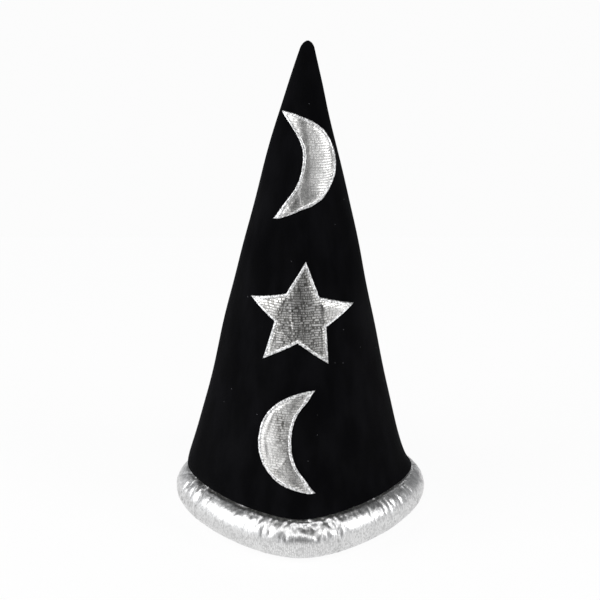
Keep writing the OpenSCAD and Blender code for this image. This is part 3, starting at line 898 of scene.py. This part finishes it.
def sewn_roll(cover, t, share):
    """The roll by cloth simulation: gathered at its two seams and blown up by its filling."""
    form = sewing_form(cover, t, share)
    cloth = form.modifiers.new("Cloth", "CLOTH")
    cloth.point_cache.frame_start = 1
    cloth.point_cache.frame_end = SEWING_FRAMES
    cloth.collision_settings.use_collision = False
    values = {"vertex_group_mass": "seams", "quality": 5, "mass": CLOTH_MASS, "air_damping": 0.1,
              "tension_stiffness": 15, "compression_stiffness": 5, "shear_stiffness": 5,
              "bending_stiffness": 0.02, "tension_damping": 0.1, "compression_damping": 0.1,
              "shear_damping": 0.1, "use_pressure": True, "uniform_pressure_force": STUFFING}
    for key, value in values.items():
        setattr(cloth.settings, key, value)
    cloth.settings.effector_weights.gravity = 0
    scene = bpy.context.scene
    for number in range(1, SEWING_FRAMES + 1):
        scene.frame_set(number)
    worn = form.evaluated_get(bpy.context.evaluated_depsgraph_get())
    points = np.empty(cover.size)
    worn.data.vertices.foreach_get("co", points)
    scene.frame_set(1)
    bpy.data.objects.remove(form)
    return points.reshape(cover.shape) / MM


def ring_average(values, reach):
    """Soft average of each row over so many columns to each side, round the hat."""
    weights = np.hanning(2 * reach + 3)[1:-1]
    weights /= weights.sum()
    columns = values.shape[1]
    around = np.concatenate([values[:, -reach:], values, values[:, :reach]], axis=1)
    return sum(w * around[:, k:k + columns] for k, w in enumerate(weights))


def seam_bead(t, a):
    """The folded edge of the roll's cloth shows as a thin bead under the cone's hem."""
    below = np.radians(a - roll_angle(t, 0.0)) * ROLL_R - BEAD_BELOW
    size = 0.35 + 0.3 * ring_noise(t, 60, 21) + 0.5 * np.exp(-(from_front(t) / 24) ** 2)
    return BEAD_H * np.clip(size, 0, 1) * np.exp(-(below / BEAD_REACH) ** 2)


def front_dent(t, a):
    """The roll is pressed in a little under the seam at its front corner."""
    return DENT_DEPTH * np.exp(-((from_front(t) - 4.5) / 9) ** 2 - ((a - 37) / 20) ** 2)


def gathered_roll(t, a, share):
    """The simulated gathers laid over the roll's plain shape, which sets its size."""
    plain = on_roll(t, a, ROLL_R - ROLL_IN)
    move = sewn_roll(plain, t, np.broadcast_to(share, t.shape)) - plain
    move = (move - ring_average(move, WRINKLE_REACH)) * WRINKLE
    far = np.linalg.norm(move, axis=2, keepdims=True)
    move *= np.tanh(far / WRINKLE_MAX) * WRINKLE_MAX / np.maximum(far, 1e-6)
    fine = seam_bead(t, a) - FINE_PUCKER * puckers(t, share) - front_dent(t, a)
    worn = on_roll(t, a, ROLL_R - ROLL_IN + fine) + move
    worn[..., 2] = np.maximum(worn[..., 2], 0)
    return worn


def roll_uv(grid):
    """UVs of the roll's cloth: millimetres round the hat, and along its section."""
    step = np.linalg.norm(np.diff(grid, axis=0), axis=2).mean(1)
    v = np.concatenate([[0], np.cumsum(step)])
    around = 2 * math.pi * (ROLL_W + ROLL_D) / 4 * 1.02
    u = np.linspace(0, around, grid.shape[1] + 1)
    return np.stack(np.broadcast_arrays(u[None, :], v[:, None]), axis=-1)


def grid_normals(grid):
    across = np.roll(grid, -1, axis=1) - np.roll(grid, 1, axis=1)
    normal = np.cross(np.gradient(grid, axis=0), across)
    return normal / np.maximum(np.linalg.norm(normal, axis=2, keepdims=True), 1e-9)


def brim_pieces():
    """The roll's cloth, with the two allowances sewn into the cone, and its wadding."""
    columns, rows, flange_rows = 480, 56, 6
    cloth_t, flat_z, wadding_in, wadding_z = 0.5, 0.4, 1.3, 1.2
    t, a, share = roll_grid(columns, rows)
    cover = gathered_roll(t, a, share)
    z = EDGE_Z - 0.2 + ALLOWANCE_H * np.linspace(1, 0, flange_rows)[:, None]
    outer_flange = on_cone(t[:1], z, ALLOWANCE_IN)
    inner_flange = on_cone(t[:1], z[::-1], ALLOWANCE_OUT)
    grid = np.concatenate([outer_flange, cover, inner_flange])
    normal = grid_normals(grid)
    inside = grid - normal * cloth_t
    inside[..., 2] = np.where(grid[..., 2] < 3, np.maximum(inside[..., 2], flat_z),
                              inside[..., 2])
    skin = np.concatenate([grid, inside[::-1]]).transpose(1, 0, 2)
    uv = roll_uv(grid)
    there = np.arange(len(grid))
    row_of = np.concatenate([there, there[::-1]])
    cloth = closed_ring("brim_roll_cloth", skin[:, ::-1],
                        uv=lambda ring, point: uv[row_of[point % len(row_of)], ring])
    finish_piece(cloth, "silver_cloth", "brim_cover")
    fill = cover - normal[flange_rows:-flange_rows] * wadding_in
    fill[..., 2] = np.maximum(fill[..., 2], wadding_z)
    wadding = closed_ring("brim_roll_wadding", fill.transpose(1, 0, 2)[::3, ::-2])
    finish_piece(wadding, "wadding", "brim_wadding")


def sew(name, ends, node, slot="black_thread"):
    """Stitches between pairs of points, in place of that node."""
    finish_piece(threads(name, ends), slot, node)


def back_rows(depth, top):
    z = np.arange(EDGE_Z + 14, top + 0.01, 2 * STITCH_L)
    return np.stack([on_cone(180, z, depth), on_cone(180, z + STITCH_L, depth)], axis=1)


def round_rows(z, depth):
    t = 360 * np.arange(BRIM_STITCHES) / BRIM_STITCHES
    return np.stack([on_cone(t, z, depth), on_cone(t + 180 / BRIM_STITCHES, z, depth)], axis=1)


def cone_pieces():
    velour = cone_layer("velour_cone", 0, VELOUR_T, 190, 260, hem=2.6)
    finish_piece(velour, "velour", "outer_cone")
    foam = cone_layer("foam_layer", FOAM_IN, FOAM_IN + FOAM_T, 60, 120, low=EDGE_Z + 2.5)
    finish_piece(foam, "foam", "foam_interlining")
    lining = cone_layer("lining_layer", LINING_IN, LINING_IN + LINING_T, 110, 180,
                        push=lining_slack)
    finish_piece(lining, "lining", "lining_cone")
    sew("back_seam_thread", back_rows(-THREAD_T / 2 - 0.4, HAT_H - 16), "back_seam_stitching")
    sew("lining_seam_thread", back_rows(LINING_IN + LINING_T + THREAD_T, HAT_H - 60),
        "lining_seam_stitching")


# Creases of the patches' cloth, as ridges() takes them
STAR_LINES = [(-12.7, 24.4, -22.9, -1.3, 1.1, 0.9, 6.0), (-8.4, 16.6, -5.2, -15.7, 0.5, 0.8, 0.8),
              (1.1, 2.7, -0.7, -6.8, 0.3, 0.7, 0.7), (-19, -2, -14.5, -9.5, 0.5, 0.9, 0.9),
              (-14.5, -9.5, -7.8, -15.7, 0.5, 0.9, 0.9), (-22, -6, -29, -32, 0.9, 1.4, 4.0),
              (17.7, 20, 21.5, -3.5, 1.1, 6.0, 0.9), (19, -2, 22, -34, 0.9, 4.0, 1.2)]
UPPER_LINES = [(22.5, -22, 26, -35, 0.5, 0.8, 0.8), (11.3, -30, 16.3, -37.6, 0.4, 0.8, 0.8),
               (11.5, 43, 11.7, 32, 0.4, 0.8, 0.8), (27, 18, 25, -4, 0.35, 1.0, 2.0)]
LOWER_LINES = [(-36, 30, -46.5, 2, 0.7, 1.0, 3.0), (-46.5, 2, -44, -16, 0.7, 1.0, 3.0),
               (-23.5, -10, -36.7, -29, 0.45, 0.9, 0.9), (-41, -22, -28, -29, 0.4, 0.9, 0.9)]

# Painted highlight and shade on the patches' foil, with some foil wear, in the form the marking
# above takes
STAR_WEAR_AND_PAINTED_LIGHT = (0.05, [(-38, 10, 14, 12, 0.35), (38, 9, 14, 12, 1.0), (-27, -30, 7, 14, 0.8),
                    (26, -34, 6, 20, 0.75)])
UPPER_MOON_WEAR_AND_PAINTED_LIGHT = (1.0, [(20, 10, 4, 16, -0.45), (18.2, -31, 5, 5, -0.7), (42, 0, 8, 24, 0.25)])
LOWER_MOON_WEAR_AND_PAINTED_LIGHT = (0.75, [(-30.5, 18, 5, 9, -1.0), (-31.4, 4, 4, 4, -0.7), (-26, -8, 4, 8, -0.4),
                     (-35, -26, 5, 4, -0.45), (-44, 5, 5, 24, 0.6)])


def patch_pieces():
    for name, at, tilt, side, cut, lines, foil, seed in (
            ("upper_moon", UPPER_MOON_AT, UPPER_MOON_TILT, -1, UPPER_MOON_CUT, UPPER_LINES,
             UPPER_MOON_WEAR_AND_PAINTED_LIGHT, 31),
            ("lower_moon", LOWER_MOON_AT, LOWER_MOON_TILT, 1, LOWER_MOON_CUT, LOWER_LINES,
             LOWER_MOON_WEAR_AND_PAINTED_LIGHT, 41)):
        cloth = moon_patch(name + "_cloth", at, tilt, side, cut, lines, foil, seed)
        finish_piece(cloth, "silver_patch", name)
        edge = satin_border(name + "_satin_stitch", moon_outline(0, 260, side, cut),
                            moon_outline(BORDER_W, 260, side, cut), at, tilt, seed + 5)
        finish_piece(edge, "silver_thread", name + "_border")
    cloth = star_patch("star_cloth", STAR_AT, STAR_LINES, STAR_WEAR_AND_PAINTED_LIGHT, 51)
    finish_piece(cloth, "silver_patch", "star")
    edge = satin_border("star_satin_stitch", star_outline(0, 60), star_outline(BORDER_W, 60),
                        STAR_AT, 0, 57)
    finish_piece(edge, "silver_thread", "star_border")


def sweatband_path():
    """The sweatband's section, a folded strip: depths inside the cone and heights."""
    layer, hem, inner = 0.75, 1.0, BAND_IN + BAND_T
    up = BAND_Z + BAND_H * np.linspace(0, 1, 9)
    down = up[::-1]
    path = [(BAND_IN, z) for z in down[:-1]]
    path += [(BAND_IN + 0.05, BAND_Z + 0.35), (BAND_IN + 0.5, BAND_Z), (inner - 0.5, BAND_Z),
             (inner - 0.05, BAND_Z + 0.35)]
    path += [(inner, z) for z in up[1:]] + [(inner - layer, z) for z in down[:-1]]
    path += [(inner - layer, BAND_Z + hem), (BAND_IN + layer, BAND_Z + hem)]
    path += [(BAND_IN + layer, z) for z in up[1:]]
    return np.array(path)


def sweatband_pieces():
    t = np.linspace(0, 360, 360, endpoint=False)[:, None]
    depth, z = sweatband_path().T[:, None]
    inner = BAND_IN + BAND_T
    rib = 0.10 * sind(t * 180) * (depth > inner - 0.1)
    sections = on_cone(t, z, depth + rib)
    band = closed_ring("sweatband_ribbon", sections[:, ::-1])
    finish_piece(band, "band_cloth", "sweatband")
    sew("sweatband_thread", round_rows(BAND_Z + 3, inner + THREAD_T / 2 + 0.1),
        "sweatband_stitching")
    sew("brim_seam_thread", round_rows(EDGE_Z + 4, SEAM_THREAD_IN), "brim_seam_stitching")


def label_pieces():
    """The blank label is sewn on near its lower edge, and curls off the lining above."""
    rows, cols, stitches = 40, 30, 5
    across = np.linspace(-1, 1, cols + 1)[None, :]
    turn = LABEL_TURN + LABEL_SPAN / 2 * across
    z = LABEL_Z + LABEL_H * np.linspace(0, 1, rows + 1)[:, None]
    corner_curl = 2.2 * smooth((z - LABEL_Z - 14) / 30) * across ** 2
    curl = corner_curl + 0.9 * smooth((z - LABEL_Z - 10) / 30)
    inner = on_cone(turn, z, LABEL_IN + LABEL_T + curl)
    outer = on_cone(turn, z, LABEL_IN + curl)
    label = slab("blank_label", inner, outer)
    finish_piece(label, "label_cloth", "care_label")
    at = LABEL_TURN + LABEL_SPAN * ((np.arange(stitches) + 0.2) / stitches - 0.5)
    depth = LABEL_IN + LABEL_T + THREAD_T / 2 + 0.05
    ends = [on_cone(turn, LABEL_Z + 4, depth) for turn in (at, at + LABEL_SPAN * 0.6 / stitches)]
    sew("blank_label_thread", np.stack(ends, axis=1), "care_label_stitching")


def join_thread():
    """Silver stitches over the join at the back of the roll, down to just above the floor."""
    turns, r, lowest = 18, ROLL_R + 0.25, 2.5
    a = 30 + 340 * np.arange(turns) / turns
    a = a[ROLL_Z + r * cosd(a) > lowest]
    ends = np.stack([on_roll(178.0, a, r), on_roll(182.0, a, r)], axis=1)
    sew("brim_join_thread", ends, "brim_join_stitching", slot="silver_thread")


# ---- Stage ----

# Strength of the room in reflections, low down and overhead, and of the backdrop seen directly
ROOM_LOW, ROOM_HIGH, BACKDROP = 1.08, 0.06, 0.972
# Softboxes: place, what they face, size, watts
SOFTBOXES = {
    "left_softbox": ((-1.6, -0.6, 1.0), (0, 0, 0.2), (1.2, 1.3), 19),
    "right_softbox": ((1.5, -0.7, 1.0), (0, 0, 0.2), (0.8, 1.1), 14),
    "front_softbox": ((0, -1.1, 1.9), (0, 0, 0.1), (1.5, 0.7), 11),
    "back_softbox": ((0.3, 1.9, 1.5), (0, 0, 0.2), (1.2, 0.9), 7),
}


def facing(place, target):
    return (Vector(target) - Vector(place)).to_track_quat("-Z", "Y").to_euler()


def area_light(name, place, target, size, power):
    light = bpy.data.lights.new(name, "AREA")
    light.shape = "RECTANGLE"
    light.size, light.size_y = size
    light.energy = power
    lamp = add_object(name, light)
    lamp.location = place
    lamp.rotation_euler = facing(place, target)


def studio_world():
    """White for the camera, like the backdrop. Reflections see a dim room that is darkest
    overhead and straight in front, and darker behind and to the right than on the left."""
    n = Nodes(bpy.data.worlds.new("studio"))
    direction = n.add("TexCoord").outputs["Generated"]

    def spread(value, low, high, to_low, to_high):
        return n.add("MapRange", {"Value": value, "From Min": low, "From Max": high,
                                  "To Min": to_low, "To Max": to_high}).outputs["Result"]

    def towards(way):
        node = n.add("VectorMath", {0: direction, 1: way}, operation="DOT_PRODUCT")
        return node.outputs["Value"]

    height = n.add("SeparateXYZ", {"Vector": direction}).outputs["Z"]
    room = spread(height, 0.15, 0.85, ROOM_LOW, ROOM_HIGH)
    gap = spread(towards((0.0, -1.0, 0.05)), 0.80, 0.90, 1.0, 0.12)
    side = spread(towards((-0.6, -0.8, 0.0)), -0.5, 0.35, 0.35, 1.0)
    strength = n.times(n.times(room, gap), side)
    dim = n.add("Background", {"Color": (0.97, 0.98, 1.0, 1.0), "Strength": strength})
    seen = n.add("Background", {"Color": (1.0, 1.0, 1.0, 1.0), "Strength": BACKDROP})
    camera_ray = n.add("LightPath").outputs["Is Camera Ray"]
    both = n.add("MixShader", {0: camera_ray, 1: dim.outputs[0], 2: seen.outputs[0]})
    n.put(n.tree.nodes["World Output"].inputs["Surface"], both.outputs[0])
    return n.owner


def stage():
    half, low = 0.62, -0.2 * MM
    mesh = bpy.data.meshes.new("floor")
    corners = [(-half, -half, low), (half, -half, low), (half, half, low), (-half, half, low)]
    mesh.from_pydata(corners, [], [(0, 1, 2, 3)])
    mesh.materials.append(floor_material())
    add_object("floor", mesh)
    bpy.context.scene.world = studio_world()
    for name, values in SOFTBOXES.items():
        area_light(name, *values)
    bpy.context.scene.view_settings.view_transform = "Standard"


def camera():
    place, target = (0, -1.5321, 0.9485), (-0.0003, 0.0086, 0.2077)
    data = bpy.data.cameras.new("camera")
    data.lens = 113.33
    data.sensor_width = 36
    cam = add_object("camera", data)
    cam.location = place
    cam.rotation_euler = facing(place, target)
    bpy.context.scene.camera = cam


def main():
    camera()
    cone_pieces()
    patch_pieces()
    brim_pieces()
    join_thread()
    sweatband_pieces()
    label_pieces()
    stage()


main()
